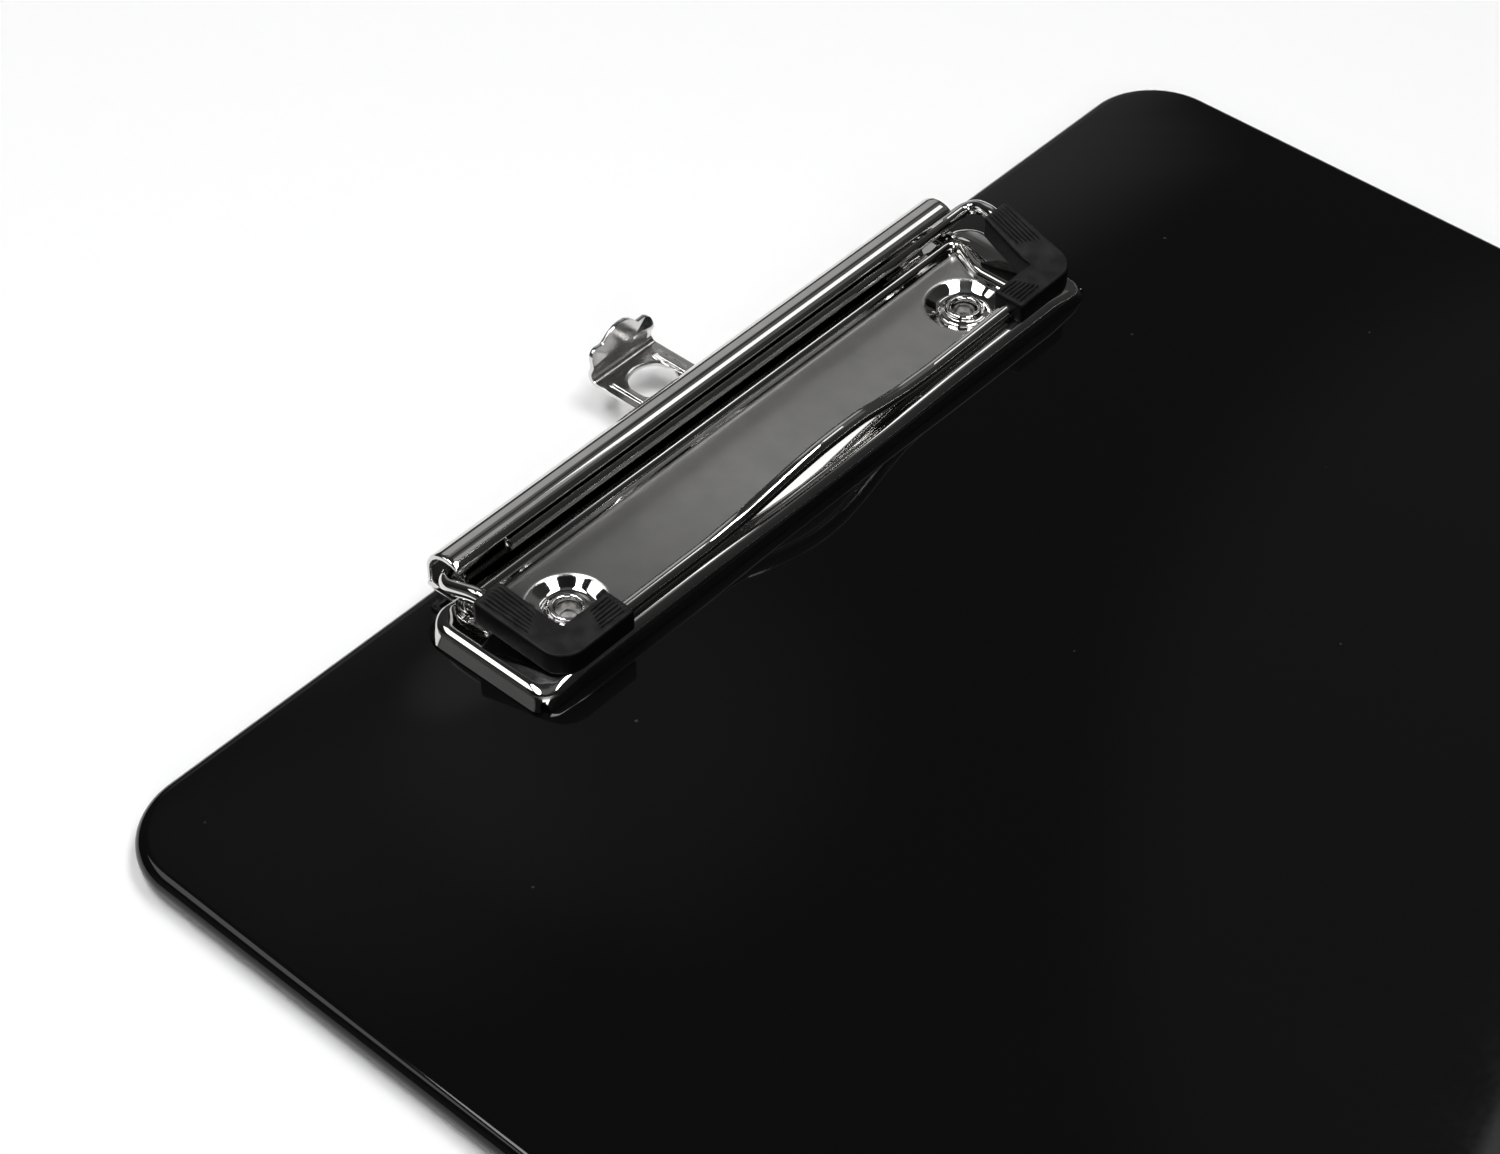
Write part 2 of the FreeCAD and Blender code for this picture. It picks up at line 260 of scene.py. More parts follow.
ARC_STEPS = 12
ARC_SHARE = 0.49


def rounded_path(points, radii, step=0.3, passes=6):
    """Straight runs joined by arcs, sampled evenly and eased, as a bent wire is."""
    pts = [Vector(p) for p in points]
    line = [pts[0]]
    for before, corner, after, radius in zip(pts, pts[1:], pts[2:], radii):
        a, b = (before - corner).normalized(), (after - corner).normalized()
        half = a.angle(b) / 2
        reach = min(radius / math.tan(half), ARC_SHARE * (before - corner).length,
                    ARC_SHARE * (after - corner).length)
        r = reach * math.tan(half)
        centre = corner + (a + b).normalized() * (r / math.sin(half))
        enter, leave = corner + a * reach, corner + b * reach
        p, q = enter - centre, leave - centre
        turn = p.angle(q) if p.length > 0 and q.length > 0 else 0.0
        line.append(enter)
        for k in range(1, ARC_STEPS):
            t = k / ARC_STEPS
            w0 = math.sin((1 - t) * turn) / math.sin(turn)
            w1 = math.sin(t * turn) / math.sin(turn)
            line.append(centre + p * w0 + q * w1)
        line.append(leave)
    line.append(pts[-1])
    line = resample(line, step)
    for _ in range(passes):
        eased = [(a + b * 2 + c) / 4 for a, b, c in zip(line, line[1:], line[2:])]
        line = [line[0]] + eased + [line[-1]]
    return line


def resample(line, step):
    """The same line with evenly spaced points, about step apart."""
    lengths = [0.0]
    for a, b in zip(line, line[1:]):
        lengths.append(lengths[-1] + (b - a).length)
    count = max(2, round(lengths[-1] / step))
    out, k = [], 0
    for i in range(count + 1):
        s = lengths[-1] * i / count
        while k < len(line) - 2 and lengths[k + 1] < s:
            k += 1
        span = lengths[k + 1] - lengths[k]
        out.append(line[k].lerp(line[k + 1], (s - lengths[k]) / span if span > 0 else 0.0))
    return out


def sweep(builder, line, radius, sides=28):
    """A round bar along a line of points, with low conical ends."""
    tip = radius * 0.35
    normal = Vector((0, 0, 1))
    rows = []
    for i, p in enumerate(line):
        a, b = line[max(i - 1, 0)], line[min(i + 1, len(line) - 1)]
        tangent = (b - a).normalized()
        normal = (normal - tangent * normal.dot(tangent)).normalized()
        side = tangent.cross(normal)
        rows.append([p + (normal * math.cos(math.tau * k / sides)
                          + side * math.sin(math.tau * k / sides)) * radius
                     for k in range(sides)])
    ids = builder.rows(rows, closed=True)
    builder.fan(ids[0], line[0] + (line[0] - line[1]).normalized() * tip)
    builder.fan(ids[-1], line[-1] + (line[-1] - line[-2]).normalized() * tip)


# -------------------------------------------------------------- materials

def new_material(name):
    material = bpy.data.materials.new(name)
    material.use_nodes = True
    tree = material.node_tree
    shader = tree.nodes["Principled BSDF"]
    return material, tree, shader


def component(tree, output, axis):
    """One axis of a texture coordinate: Object is in metres, Normal is the surface's."""
    source = tree.nodes.new("ShaderNodeTexCoord")
    parts = tree.nodes.new("ShaderNodeSeparateXYZ")
    tree.links.new(source.outputs[output], parts.inputs["Vector"])
    return parts.outputs[axis]


def coordinates(tree, scale, stretch=(1, 1, 1)):
    """Object coordinates for a pattern of about scale features to the metre."""
    source = tree.nodes.new("ShaderNodeTexCoord")
    mapping = tree.nodes.new("ShaderNodeMapping")
    mapping.inputs["Scale"].default_value = [scale * s for s in stretch]
    tree.links.new(source.outputs["Object"], mapping.inputs["Vector"])
    return mapping.outputs["Vector"]


def noise(tree, scale, detail=3.0, stretch=(1, 1, 1), rough=0.5):
    """Fractal noise from 0 to 1; the smaller a stretch, the longer the grain along that axis."""
    node = tree.nodes.new("ShaderNodeTexNoise")
    node.inputs["Scale"].default_value = 1.0
    node.inputs["Detail"].default_value = detail
    node.inputs["Roughness"].default_value = rough
    tree.links.new(coordinates(tree, scale, stretch), node.inputs["Vector"])
    return node.outputs["Fac"]


def ranged(tree, value, low, high, out_low, out_high):
    """A value's range from low to high mapped to out_low to out_high, and clamped."""
    node = tree.nodes.new("ShaderNodeMapRange")
    node.inputs["From Min"].default_value = low
    node.inputs["From Max"].default_value = high
    node.inputs["To Min"].default_value = out_low
    node.inputs["To Max"].default_value = out_high
    tree.links.new(value, node.inputs["Value"])
    return node.outputs["Result"]


def combine(tree, a, b, operation="ADD"):
    """Two values added, or joined by another operation."""
    node = tree.nodes.new("ShaderNodeMath")
    node.operation = operation
    tree.links.new(a, node.inputs[0])
    tree.links.new(b, node.inputs[1])
    return node.outputs["Value"]


def mix_colours(tree, factor, a, b):
    """Blend from a to b by a factor from 0 to 1; each is a tuple or another node's output."""
    node = tree.nodes.new("ShaderNodeMix")
    node.data_type = "RGBA"
    tree.links.new(factor, node.inputs["Factor"])
    for socket, colour in (("A", a), ("B", b)):
        if isinstance(colour, tuple):
            node.inputs[socket].default_value = (*colour, 1.0)
        else:
            tree.links.new(colour, node.inputs[socket])
    return node.outputs["Result"]


def bump(tree, shader, height, strength, distance):
    """Fine relief from a height pattern; distance is in metres."""
    node = tree.nodes.new("ShaderNodeBump")
    node.inputs["Strength"].default_value = strength
    node.inputs["Distance"].default_value = distance
    tree.links.new(height, node.inputs["Height"])
    tree.links.new(node.outputs["Normal"], shader.inputs["Normal"])


def satin_mask(tree):
    """One on the flat of the sunk panel, nothing on the folds and the rest.

    In metres of the row frame, the panel's face is at z = 0.00625, and the rear channel's floor,
    which is as high, starts beyond y = 0.15."""
    height = component(tree, "Object", "Z")
    low = ranged(tree, height, 0.00600, 0.00622, 0.0, 1.0)
    high = ranged(tree, height, 0.00630, 0.00645, 1.0, 0.0)
    front = ranged(tree, component(tree, "Object", "Y"), 0.1500, 0.1501, 1.0, 0.0)
    return combine(tree, combine(tree, low, high, "MULTIPLY"), front, "MULTIPLY")


# Dark grey of the shade painted onto the sunk panel's left end.
PAINTED_SHADE_TONE = (0.12, 0.12, 0.12)


def painted_left_shade(tree):
    """How far the panel's colour is darkened by painted shade: most at its left end, nothing past
    its middle.
    """
    return ranged(tree, component(tree, "Object", "X"), -0.054, -0.008, 0.78, 0.0)


def nickel(name, base=0.64, rough=0.07, grain=(1, 1, 1), satin=0.0, rub=0.08):
    """Bright nickel plate: slight mottling, fine grain and a few rubbed patches.

    A satin above 0 makes the sunk panel's flat that much rougher, and paints shade onto it,
    darkest at its left end."""
    material, tree, shader = new_material(name)
    shader.inputs["Metallic"].default_value = 1.0
    mottling = noise(tree, 260.0, 4.0)
    colour = mix_colours(tree, ranged(tree, mottling, 0.35, 0.7, 0.0, 1.0),
                         (base * 1.03, base * 1.02, base),
                         (base * 0.93, base * 0.92, base * 0.91))
    rubbed_and_lit_top = ranged(tree, noise(tree, 90.0, 5.0), 0.5, 0.75, 0.0, rub)
    fine = ranged(tree, noise(tree, 2600.0, 2.0, grain), 0.3, 0.7, rough * 0.7, rough * 1.3)
    total = combine(tree, rubbed_and_lit_top, fine)
    if satin:
        mask = satin_mask(tree)
        total = combine(tree, total, ranged(tree, mask, 0.0, 1.0, 0.0, satin))
        # Painted shade: the panel's flat is darkened towards its left end.
        colour = mix_colours(tree, combine(tree, mask, painted_left_shade(tree), "MULTIPLY"), colour, PAINTED_SHADE_TONE)
    tree.links.new(colour, shader.inputs["Base Color"])
    tree.links.new(total, shader.inputs["Roughness"])
    bump(tree, shader, noise(tree, 240.0, 0.0, grain), 0.02, 0.000004)
    return material


def black_gloss():
    """Polished black plastic: faint smudges, a soft ripple and sparse dust."""
    material, tree, shader = new_material("board_gloss")
    shader.inputs["IOR"].default_value = 1.44
    shader.inputs["Specular IOR Level"].default_value = 0.36
    dust = tree.nodes.new("ShaderNodeTexVoronoi")
    dust.inputs["Scale"].default_value = 1.0
    tree.links.new(coordinates(tree, 150.0), dust.inputs["Vector"])
    speck = ranged(tree, dust.outputs["Distance"], 0.02, 0.045, 1.0, 0.0)
    sparse = ranged(tree, noise(tree, 60.0, 1.0), 0.56, 0.6, 0.0, 1.0)
    specks = combine(tree, speck, sparse, "MULTIPLY")
    colour = mix_colours(tree, specks, (0.0031, 0.0031, 0.0033), (0.04, 0.04, 0.042))
    tree.links.new(colour, shader.inputs["Base Color"])
    smudge = ranged(tree, noise(tree, 14.0, 6.0, rough=0.65), 0.45, 0.75, 0.035, 0.10)
    haze = ranged(tree, noise(tree, 900.0, 2.0), 0.3, 0.8, 0.0, 0.02)
    tree.links.new(combine(tree, smudge, haze), shader.inputs["Roughness"])
    bump(tree, shader, noise(tree, 110.0, 1.0), 0.02, 0.00006)
    return material


def dark_rubber():
    """Dark matt rubber with a fine moulded grain, and painted light: faces that look up are
    painted paler, more so in rubbed patches.
    """
    material, tree, shader = new_material("grip_rubber")
    shader.inputs["IOR"].default_value = 1.4
    shader.inputs["Specular IOR Level"].default_value = 0.18
    patch = ranged(tree, noise(tree, 420.0, 5.0), 0.42, 0.68, 0.45, 1.0)
    # Painted light: upward faces are painted paler than the sides, mixed with random rubbed
    # patches.
    top = ranged(tree, component(tree, "Normal", "Z"), 0.5, 0.95, 0.0, 1.0)
    rubbed_and_lit_top = combine(tree, patch, top, "MULTIPLY")
    colour = mix_colours(tree, rubbed_and_lit_top, (0.0018, 0.0018, 0.0019), (0.0210, 0.0210, 0.0216))
    tree.links.new(colour, shader.inputs["Base Color"])
    roughness = ranged(tree, noise(tree, 1800.0, 3.0), 0.3, 0.7, 0.42, 0.62)
    tree.links.new(roughness, shader.inputs["Roughness"])
    bump(tree, shader, noise(tree, 5200.0, 3.0), 0.25, 0.00003)
    return material


def zinc():
    """Plain zinc-plated washers: greyer and rougher than the nickel."""
    return nickel("washer_zinc", base=0.5, rough=0.3)


def pale_floor():
    material, tree, shader = new_material("stage_floor")
    shader.inputs["Base Color"].default_value = (0.96, 0.96, 0.96, 1.0)
    shader.inputs["Roughness"].default_value = 0.9
    shader.inputs["Specular IOR Level"].default_value = 0.1
    return material


PLATE = nickel("plate_nickel", base=0.66, rough=0.04, satin=0.25, rub=0.02)
WIRE = nickel("wire_nickel", base=0.70, rough=0.045, grain=(0.1, 1, 1))
EYELET = nickel("eyelet_nickel", base=0.72, rough=0.06)
HANGER = nickel("hanger_nickel", base=0.72, rough=0.17)
BOARD = black_gloss()
RUBBER = dark_rubber()
ZINC = zinc()


# ------------------------------------------------------------------ board

EDGE_STEPS = 24


def circle(radius, x, y, z, count=64):
    return [(x + radius * math.cos(math.tau * k / count),
             y + radius * math.sin(math.tau * k / count), z) for k in range(count)]


def flat_with_holes(name, outline, holes):
    """A flat face inside an outline, open at its holes."""
    mesh = bpy.data.meshes.new(name)
    bm = bmesh.new()
    edges = []
    for loop in [outline] + holes:
        verts = [bm.verts.new(to_row(p)) for p in loop]
        edges += [bm.edges.new(pair) for pair in zip(verts, verts[1:] + verts[:1])]
    bmesh.ops.triangle_fill(bm, use_beauty=True, edges=edges)
    bm.to_mesh(mesh)
    bm.free()
    return mesh


def add_mesh(builder, mesh):
    """Copy a row-frame mesh back into a builder."""
    start = len(builder.verts)
    for v in mesh.vertices:
        p = v.co * 1000
        builder.verts.append((p.x, p.y - BOARD_L / 2, p.z - BOARD_T))
    for face in mesh.polygons:
        builder.faces.append(tuple(start + i for i in face.vertices))


def build_board():
    """The board: flat faces, a round edge, and at each eyelet a hole over a wider sink."""
    b = Builder()
    tx = shares(BOARD_W, [(10.0, 0.4), (BOARD_W / 2, 6.0)])
    ty = shares(BOARD_L, [(10.0, 0.4), (BOARD_L / 2, 6.0)])
    mid, half = -BOARD_T / 2, BOARD_T / 2
    profile = []
    for k in range(EDGE_STEPS + 1):
        angle = math.radians(lerp(90, -90, k / EDGE_STEPS))
        step = (half - BOARD_EDGE) * math.copysign(1, math.sin(angle) + 1e-9)
        profile.append((BOARD_EDGE * (1 - math.cos(angle)),
                        mid + step + BOARD_EDGE * math.sin(angle)))
    profile[0] = (BOARD_EDGE, 0.0)
    profile[-1] = (BOARD_EDGE, -BOARD_T)
    rows = [ring(-BOARD_W / 2 + d, BOARD_W / 2 - d, -BOARD_L + d, -d, BOARD_CORNER - d,
                 BOARD_CORNER - d, z, tx, ty) for d, z in profile]
    b.rows(rows, closed=True)
    spots = [(-EYELET_X, EYELET_Y), (EYELET_X, EYELET_Y)]
    holes = [circle(EYELET_HOLE_R, x, y, 0.0) for x, y in spots]
    sinks = [circle(SINK_R, x, y, -BOARD_T) for x, y in spots]
    add_mesh(b, flat_with_holes("top", rows[0], holes))
    add_mesh(b, flat_with_holes("bottom", rows[-1], sinks))
    for (x, y), hole, sink in zip(spots, holes, sinks):
        b.rows([hole, circle(EYELET_HOLE_R, x, y, SINK_Z), circle(SINK_R, x, y, SINK_Z), sink],
               closed=True)
    return b.make("board_shell", BOARD, "base", ["board"], sharp=50)


# --------------------------------------------------------- clip base plate

SHEET = 0.8
RIM_Z, PANEL_Z, DIMPLE_Z = 3.0, 2.05, 0.8

# Half width, front and rear of the tray's outline: at the sunk panel's edge, at the inner
# edge of the rim round it, and at the rim's outer edge, where the flanges fold down.
PANEL_X, PANEL_FRONT, PANEL_REAR, PANEL_R = 50.3, -24.9, -8.85, 1.5
CREST_X, CREST_FRONT, CREST_Y = 50.8, -25.7, -8.3
FOLD_X, FOLD_FRONT, FOLD_REAR = 57.85, -28.2, -7.6
CREST_FRONT_R, CREST_REAR_R = 2.2, 2.0
FOLD_FRONT_R, FOLD_REAR_R = 2.8, 2.6

# The folds' radii and how far the flanges lean back from flat, in degrees: ends, then front.
END_FOLD_R, FRONT_FOLD_R = 1.3, 0.9
END_LEAN, FRONT_LEAN = 68, 86

WALL_STEPS = 10
RIM_SHARES = (0.025, 0.06, 0.3, 0.5, 0.6, 0.7, 0.8, 0.9, 1.0)
FLANGE_HEIGHTS = [2.05, 1.95, 1.8, 1.5, 1.2, 0.8, 0.4, 0.0]

# The front rim's slope in degrees, at its ends and under the wire's jog.
FRONT_SLOPES, JOG_X, FRONT_EASE = (4.0, 15.0), 2.0, 0.15

# The share of its height that the rim loses towards its ends, from where and over what length.
END_DROP, END_DROP_X, END_DROP_LENGTH = 0.32, 51.2, 6.8

# The rear corners roll down beyond this x and y.
ROLL_X, ROLL_Y, ROLL_LENGTH = 53.5, -10.2, 3.9

# The panel's ends lean outwards to the rear; each ring out from the crest leans less.
SLANT, SLANT_X, SLANT_Y = 2.8, 44.0, -16.5
SLANT_WEIGHTS = (0.95, 0.9, 0.5, 0.2, 0.0)

DIMPLE_R, DIMPLE_WALL = 6.55, 2.55

# The slit up each front corner: its middle line, half its width, its top and its end's radius.
SLIT_X, SLIT_Y, SLIT_HALF = 58.1, -27.9, 0.42
SLIT_TOP, SLIT_ROUND = 1.1, 0.45


def flange_offset(z, degrees, radius):
    """How far a flange's face stands out from its fold's start at height z."""
    lean = math.radians(degrees)
    arc_z = RIM_Z - radius * (1 - math.cos(lean))
    if z >= arc_z:
        return radius * math.sin(math.acos(1 - (RIM_Z - z) / radius))
    return radius * math.sin(lean) + (arc_z - z) / math.tan(lean)


def tray_rings(tx, ty):
    """Rings from the sunk panel's edge out over the rim and down the flanges."""
    rings = []
    for k in range(WALL_STEPS + 1):
        f = 0.5 - 0.5 * math.cos(math.pi * k / WALL_STEPS)
        half = lerp(PANEL_X, CREST_X, f)
        rings.append(ring(-half, half, lerp(PANEL_FRONT, CREST_FRONT, f),
                          lerp(PANEL_REAR, CREST_Y, f), lerp(PANEL_R, CREST_FRONT_R, f),
                          lerp(PANEL_R, CREST_REAR_R, f), lerp(PANEL_Z, RIM_Z, smooth(f)), tx, ty))
    for f in RIM_SHARES:
        half = lerp(CREST_X, FOLD_X, f)
        rings.append(ring(-half, half, lerp(CREST_FRONT, FOLD_FRONT, f),
                          lerp(CREST_Y, FOLD_REAR, f), lerp(CREST_FRONT_R, FOLD_FRONT_R, f),
                          lerp(CREST_REAR_R, FOLD_REAR_R, f), RIM_Z, tx, ty))
    bend = [RIM_Z - END_FOLD_R * (1 - math.cos(math.radians(a))) for a in range(5, END_LEAN, 5)]
    for z in bend + FLANGE_HEIGHTS:
        dx = flange_offset(z, END_LEAN, END_FOLD_R)
        dy = flange_offset(z, FRONT_LEAN, FRONT_FOLD_R)
        rings.append(ring(-FOLD_X - dx, FOLD_X + dx, FOLD_FRONT - dy, FOLD_REAR + 0.8 * dx,
                          lerp(1.4, FOLD_FRONT_R, (z / RIM_Z) ** 2), FOLD_REAR_R + 0.8 * dx,
                          z, tx, ty))
    return rings


def ramp(t):
    """An even slope from 0 to 1 with short easing at both ends."""
    t, ease = min(max(t, 0.0), 1.0), 0.17
    if t > 0.5:
        return 1.0 - ramp(1.0 - t)
    return t * t / (2 * ease * (1 - ease)) if t < ease else (t - ease / 2) / (1 - ease)


def press(p, weight):
    """Bend a point of the plain tray to the pressing's real form.

    The front rim slopes down, the rim falls towards both ends, the rear corners roll over, the
    panel's ends slant by their weight, and the dimples are sunk."""
    x, y, z = p
    if y < CREST_FRONT:
        near_jog = smooth((30.0 - abs(x - JOG_X)) / 20.0)
        slope = math.tan(math.radians(lerp(*FRONT_SLOPES, near_jog)))
        t = min(CREST_FRONT - y, 2.3)
        z -= slope * (t - FRONT_EASE * (1 - math.exp(-t / FRONT_EASE))) * z / RIM_Z
    z *= 1 - END_DROP * ramp((abs(x) - END_DROP_X) / END_DROP_LENGTH)
    if abs(x) > ROLL_X and y > ROLL_Y:
        z = min(z, RIM_Z * math.sqrt(max(0.0, 1 - ((y - ROLL_Y) / ROLL_LENGTH) ** 3)))
    reach = smooth((abs(x) - SLANT_X) / 5.5) * weight
    x += math.copysign(SLANT * smooth((y - SLANT_Y) / 8.0) * reach, x)
    if z < RIM_Z - 0.3:
        for cx in (-EYELET_X, EYELET_X):
            r = math.hypot(x - cx, y - EYELET_Y)
            z -= (PANEL_Z - DIMPLE_Z) * ramp((DIMPLE_R - r) / DIMPLE_WALL)
    return (x, y, z)


def cut_from_tray(centre):
    """Whether a face is in an eyelet's hole, in the open rear or in a front corner's slit."""
    x, y, z = centre
    hole = math.hypot(abs(x) - EYELET_X, y - EYELET_Y) < EYELET_HOLE_R
    rear = y > CREST_Y and abs(x) < 53.4
    off_middle = abs((abs(x) - SLIT_X) - (SLIT_Y - y)) / math.sqrt(2)
    above = max(0.0, (z - (SLIT_TOP - SLIT_ROUND)) / SLIT_ROUND)
    half = SLIT_HALF * math.sqrt(max(0.0, 1 - above ** 2))
    slit = abs(x) > 56.5 and y < -27.4 and z < SLIT_TOP and off_middle < half
    return hole or rear or slit


def build_tray():
    """The sunk panel, its rim and its flanges, as one thin sheet."""
    b = Builder()
    tx = shares(118.0, [(2.4, 0.16), (9.0, 0.6), (23.5, 0.24), (59.0, 1.2)])
    ty = shares(21.0, [(2.4, 0.16), (10.5, 0.27)])
    rings = []
    for k, row in enumerate(tray_rings(tx, ty)):
        out = k - WALL_STEPS - 1
        weight = 1.0 if out < 0 else SLANT_WEIGHTS[min(out, len(SLANT_WEIGHTS) - 1)]
        rings.append([press(p, weight) for p in row])
    b.rows(rings, closed=True)
    flat = ring(-PANEL_X, PANEL_X, PANEL_FRONT, PANEL_REAR, PANEL_R, PANEL_R, PANEL_Z, tx, ty)
    b.rows([[press(p, 1.0) for p in row] for row in coons(flat, tx, ty)])
    return b.make("clip_tray", PLATE, "base", ["base_plate"], drop=cut_from_tray,
                  thickness=SHEET, sharp=60, weld=2e-6, eased=False)


WALL_Y, CHANNEL_R = -1.4, 1.3
CURL_Y, CURL_Z, CURL_R = -5.0, 5.45, 4.0


def strip_profile():
    """Middle line of the rear strip: rim, channel floor, rear wall and curl."""
    half = SHEET / 2
    line = arc_points(CREST_Y, RIM_Z - half - 0.5, 0.5, 90, 38, 10)
    floor = PANEL_Z - half + 0.05
    line += [(-6.95, floor + 0.22), (-6.6, floor + 0.05), (-6.2, floor)]
    line += arc_points(WALL_Y - CHANNEL_R, floor + CHANNEL_R, CHANNEL_R, -90, 0, 12)
    line += arc_points(CURL_Y, CURL_Z, CURL_R - half, 0, 129, 44)
    return line


def thick_profile(line, half):
    """A sheet's closed outline about its middle line, with a rounded free lip."""
    left, right = [], []
    for i, (y, z) in enumerate(line):
        a, b = line[max(i - 1, 0)], line[min(i + 1, len(line) - 1)]
        ty, tz = b[0] - a[0], b[1] - a[1]
        size = math.hypot(ty, tz)
        ny, nz = -tz / size, ty / size
        shrink = 1.0 if i < len(line) - 1 else 0.55
        left.append((y + ny * half * shrink, z + nz * half * shrink))
        right.append((y - ny * half * shrink, z - nz * half * shrink))
    return left, right


def build_curl():
    """The rear strip with its curl, cut square at both ends with eased edges."""
    b = Builder()
    left, right = thick_profile(strip_profile(), SHEET / 2)
    loop = left + right[::-1]
    reach = 53.9
    end = [(reach, 0.6), (reach - 0.08, 0.8), (reach - 0.3, 1.0), (reach - 1.0, 1.0)]
    stations = [(-x, grow) for x, grow in end] + [(x, 1.0) for x in range(-48, 49, 6)] + end[::-1]
    count = len(left)
    rows = []
    for x, grow in stations:
        row = []
        for i, (y, z) in enumerate(loop):
            k = i if i < count else 2 * count - 1 - i
            my, mz = (left[k][0] + right[k][0]) / 2, (left[k][1] + right[k][1]) / 2
            row.append((x, my + (y - my) * grow, mz + (z - mz) * grow))
        rows.append(row)
    ids = b.rows(rows, closed=True)
    for cap in (ids[0], ids[-1]):
        for i in range(count - 1):
            b.faces.append((cap[i], cap[i + 1], cap[2 * count - 2 - i], cap[2 * count - 1 - i]))
    return b.make("clip_curl", PLATE, "base", sharp=50)


def build_ear(side):
    """The small upright ear that closes one end of the channel, bent up from its floor."""
    b = Builder()
    bend = [(52.7, 1.65), (53.1, 1.65)] + arc_points(53.25, 2.5, 0.85, -90, 0, 8)
    stations = 44
    rows = []
    for k in range(stations + 1):
        y = lerp(-9.3, -1.25, k / stations)
        nose = math.sqrt(max(0.0, 1 - max(0.0, (-7.7 - y) / 1.62) ** 2))
        tail = smooth((-1.2 - y) / 0.8)
        crown = lerp(3.25, 4.25, smooth((-6.5 - y) / 0.8))
        top = 2.6 + (crown - 2.6) * nose * (0.35 + 0.65 * tail)
        row = [(side * x, y, z) for x, z in bend]
        row += [(side * 54.1, y, lerp(2.5, top, t)) for t in (0.25, 0.5, 0.75, 0.9, 1.0)]
        rows.append(row)
    b.rows(rows)
    return b.make("clip_ear_" + ("left" if side < 0 else "right"), PLATE, "base",
                  thickness=0.75, flip=side > 0, sharp=50)


def build_plate():
    return joined("clip_pressing", [build_tray(), build_curl(), build_ear(-1), build_ear(1)])


# ---------------------------------------------------------------- eyelets

def build_eyelet(name, x):
    """A tubular eyelet with a rolled head, and its foot clinched under the board."""
    b = Builder()
    profile = [(1.85, -3.95), (3.3, -4.05), (3.55, -3.95), (3.6, -3.8), (3.35, -3.62),
               (2.35, -3.6), (2.35, 0.8), (3.95, 0.8), (4.0, 0.86)]
    profile += [(3.85, 1.02), (3.5, 1.1), (3.15, 1.13), (2.95, 1.2)]
    profile += arc_points(2.42, 1.32, 0.5, 20, 200, 18)
    profile += [(1.9, 1.0), (1.85, 0.7), (1.85, -1.5)]
    lathe(b, profile, x, EYELET_Y)
    return b.make(name, EYELET, "base", [name.removesuffix("_shell")], sharp=60)


# -------------------------------------------------------------- wire bail

WIRE_R = 1.15


def skew(p):
    """The bail's front sits very slightly askew on the plate."""
    x, y, z = p
    return (x, y + 0.0085 * (x - BAIL_X) * smooth((-9.0 - y) / 8.0), z)


def wire_line():
    """The wire's middle line: rear rod, left arm, front bar with its jog, right arm, front rod."""
    rear, front = -4.32, -6.68
    left = [(46.0, rear, 5.95), (-44.0, rear, 5.95), (-51.0, rear - 0.75, 6.4),
            (-55.7, -5.7, 6.5), (-55.0, -12.3, 8.3), (-53.0, -26.6, 4.8), (-24.0, -26.9, 4.75)]
    jog = [(-17.5, -27.05, 5.3), (-13.8, -27.45, 6.35), (-9.7, -27.8, 7.35), (-5.5, -28.05, 8.2),
           (-1.2, -28.2, 8.72), (3.5, -28.15, 8.68), (8.4, -27.75, 7.95), (13.5, -27.35, 6.6),
           (18.5, -26.95, 5.5)]
    right = [(26.5, -26.7, 4.78), (56.0, -26.6, 4.8), (57.9, -12.3, 8.3), (59.8, -6.95, 6.35),
             (51.0, -6.85, 6.15), (42.0, front, 5.95), (-43.5, front, 5.95)]
    arm = [20.0, 20.0, 2.9, 5.0, 2.9, 14.0]
    return rounded_path([skew(p) for p in left + jog + right],
                        arm + [12.0] * len(jog) + arm[::-1])


def build_wire():
    b = Builder()
    sweep(b, wire_line(), WIRE_R)
    return b.make("bail_wire", WIRE, "bail", ["wire_bail"], sharp=60)


# ----------------------------------------------------------- corner grips

# A grip's outline: x of its outer edge in front and at the arm's end, from the bail's middle,
# and a leg's width; y of its front edge and of the arm's end, and x of the front leg's end.
GRIP_OUT_FRONT, GRIP_OUT_REAR, GRIP_LEG = 57.2, 58.8, 5.5
GRIP_FRONT, GRIP_END, GRIP_BAR_END = -29.35, -13.3, 43.0
GRIP_BOTTOM, GRIP_TOP, GRIP_CORNER_R = 3.2, 7.0, 4.0
GRIP_SLOPE_LEFT, GRIP_SLOPE_RIGHT = 0.23, 0.26
TOP_EDGE_R, BOTTOM_EDGE_R = 0.55, 0.4
RIB_PITCH, RIB_DEPTH, RIB_BAND = 0.70, 0.28, 2.1
RIB_LENGTH_ARM, RIB_LENGTH_BAR = 9.6, 6.6


def crease(y, slope):
    """How far the arm's line has climbed at y: level in front, rising to the rear."""
    t = y + 24.4
    return slope * (t + math.sqrt(t * t + 1.2)) / 2


def grip_rib(across, along, length):
    """Depth of the fine grooves that run along a leg near its free end."""
    if abs(across) > RIB_BAND:
        return 0.0
    wave = 0.5 + 0.5 * math.cos(math.tau * across / RIB_PITCH)
    ends = smooth((along - 0.9) / 0.3) * smooth((length - along) / 0.4)
    return RIB_DEPTH * (1 - wave) ** 2 * ends


